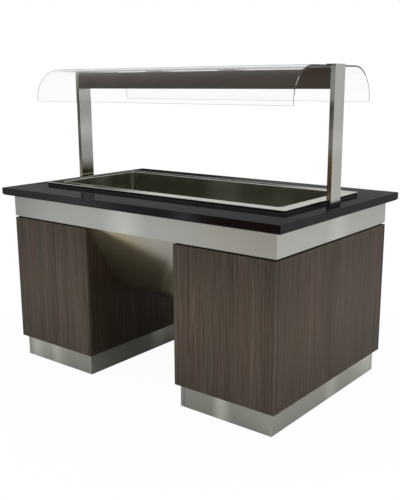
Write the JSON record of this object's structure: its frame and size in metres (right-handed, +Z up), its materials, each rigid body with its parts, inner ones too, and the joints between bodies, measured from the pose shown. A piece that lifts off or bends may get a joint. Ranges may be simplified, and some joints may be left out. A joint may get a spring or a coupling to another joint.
{
  "type": "heated salad bar",
  "caption": "Free-standing island salad bar: heated steel well in a stone worktop on two wood-faced pedestals, with a curved glass canopy on a gantry above.",
  "frame": {"origin": "middle of the footprint on the floor, below the middle of the well", "axes": "+Z up, +X along the long side to the right as seen by a customer at the front, -Y towards the front; the doors and controls are on the +Y side"},
  "size_m": [1.6, 1, 1.424],
  "materials": {
    "granite": "polished",
    "backing_board": "matt black",
    "black_surround": "satin black",
    "rim_steel": "brushed",
    "tank_steel": "brushed",
    "mineral_wool": "fibrous",
    "galvanised": "galvanised",
    "element_sheath": "heat-tinted",
    "waste_steel": "polished",
    "copper_pipe": "drawn copper",
    "brass": "machined",
    "ball_chrome": "polished",
    "lever_grip": "dipped grip",
    "frame_paint": "black powder coat",
    "foot_plastic": "moulded",
    "trough_steel": "bright brushed",
    "apron_steel": "brushed",
    "dark_wood": "dark straight-grained laminate",
    "carcass_board": "melamine-faced board",
    "black_trim": "matt",
    "plinth_steel": "brushed",
    "gland_plastic": "moulded",
    "grey_plastic": "moulded",
    "fitting_steel": "satin",
    "black_plastic": "satin moulded",
    "heater_rocker_red": "translucent moulded",
    "lamp_rocker_green": "translucent moulded",
    "pilot_amber": "translucent moulded",
    "post_steel": "brushed along its height",
    "black_rubber": "moulded",
    "aluminium_block": "milled",
    "zinc_bolt": "zinc plated",
    "beam_wood": "dark straight-grained laminate",
    "white_metal": "white",
    "opal_plastic": "opal",
    "clear_seal": "soft, clear",
    "canopy_glass": "clear tempered"
  },
  "bodies": {
    "cabinet": {"worktop_slab": "granite", "slab_backing_board": "backing_board", "well_surround": "black_surround", "tank_rim_flange": "rim_steel", "tank_basin": "tank_steel", "tank_insulation": "mineral_wool", "heater_cover_tray": "galvanised", "heating_elements": "element_sheath", "element_clamps": "galvanised", "drain_waste": "waste_steel", "drain_pipes": "copper_pipe", "drain_valve_body": "brass", "bridge_frame": "frame_paint", "pedestal_legs": "frame_paint", "levelling_feet": "foot_plastic", "under_trough": "trough_steel", "apron_front": "apron_steel", "apron_back": "apron_steel", "apron_left": "apron_steel", "apron_right": "apron_steel", "right_front_panel": "dark_wood", "left_front_panel": "dark_wood", "right_end_panel": "dark_wood", "left_end_panel": "dark_wood", "right_inner_panel": "dark_wood", "left_inner_panel": "dark_wood", "bottom_boards": "carcass_board", "shadow_gap_strips": "black_trim", "plinth_front_sheets": "plinth_steel", "plinth_rear_sheets": "plinth_steel", "inlet_gland": "gland_plastic", "terminal_box": "grey_plastic", "door_hinges_and_catches": "fitting_steel", "control_panel": "black_plastic", "rocker_housings": "black_plastic", "pilot_lamps": "pilot_amber", "control_box": "galvanised", "thermostat": "grey_plastic", "gantry_post_right": "post_steel", "gantry_post_left": "post_steel", "post_foot_pads": "black_rubber", "post_inner_blocks": "aluminium_block", "post_anchor_bolts": "zinc_bolt", "gantry_screws": "fitting_steel", "post_cap_plates": "post_steel", "beam_core": "aluminium_block", "beam_fascias": "beam_wood", "lamp_housing": "white_metal", "lamp_diffuser": "opal_plastic", "glass_seals": "clear_seal", "glass_canopy": "canopy_glass"},
    "left_door": {"left_door_panel": "dark_wood", "left_door_fittings": "fitting_steel"},
    "right_door": {"right_door_panel": "dark_wood", "right_door_fittings": "fitting_steel"},
    "thermostat_dial": {"thermostat_knob": "black_plastic"},
    "heater_switch": {"heater_rocker": "heater_rocker_red"},
    "lamp_switch": {"lamp_rocker": "lamp_rocker_green"},
    "drain_lever": {"drain_valve_lever": "lever_grip", "drain_valve_ball": "ball_chrome"}
  },
  "joints": [
    {"name": "left_door_hinge", "type": "hinge", "parent": "cabinet", "child": "left_door", "pos_m": [-0.741, 0.463, 0.405], "axis": [0, 0, 1], "range_deg": [0, 110]},
    {"name": "right_door_hinge", "type": "hinge", "parent": "cabinet", "child": "right_door", "pos_m": [0.741, 0.463, 0.405], "axis": [0, 0, -1], "range_deg": [0, 110]},
    {"name": "thermostat_turn", "type": "hinge", "parent": "cabinet", "child": "thermostat_dial", "pos_m": [-0.385, 0.463, 0.754], "axis": [0, -1, 0], "range_deg": [0, 270]},
    {"name": "heater_switch_rock", "type": "hinge", "parent": "cabinet", "child": "heater_switch", "pos_m": [-0.48, 0.458, 0.754], "axis": [-1, 0, 0], "range_deg": [0, 20]},
    {"name": "lamp_switch_rock", "type": "hinge", "parent": "cabinet", "child": "lamp_switch", "pos_m": [-0.525, 0.458, 0.754], "axis": [-1, 0, 0], "range_deg": [0, 20]},
    {"name": "drain_lever_turn", "type": "hinge", "parent": "cabinet", "child": "drain_lever", "pos_m": [-0.33, 0.034, 0.44], "axis": [0, -1, 0], "range_deg": [0, 90]}
  ]
}
